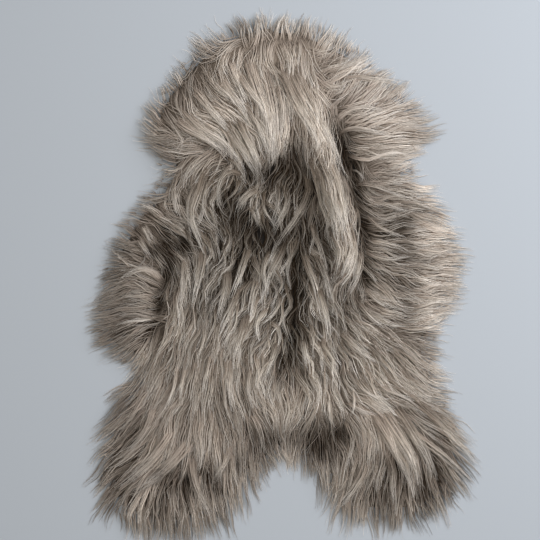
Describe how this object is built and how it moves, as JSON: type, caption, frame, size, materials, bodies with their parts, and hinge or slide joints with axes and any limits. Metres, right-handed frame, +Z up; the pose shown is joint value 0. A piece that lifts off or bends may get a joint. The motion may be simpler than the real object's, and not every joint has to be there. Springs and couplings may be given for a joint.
{
  "type": "sheepskin rug",
  "caption": "Long-wool sheepskin rug lying flat, wool up: tanned skin in the outline of the animal, lumpy wavy fleece with locks all round its rim.",
  "frame": {"origin": "on the floor under the middle of the skin, on the skin's underside", "axes": "+Z up, through the wool; +Y towards the neck end; +X to the right, seen from above with the neck end at the top"},
  "size_m": [0.7764, 1.0455, 0.062],
  "materials": {
    "skin": "pale suede, the flesh side of a tanned skin, matt",
    "wool": "long wavy taupe wool, darker at its roots and paler at its tips, soft sheen"
  },
  "bodies": {
    "root": {"skin": "skin", "fleece": "wool"}
  },
  "joints": []
}
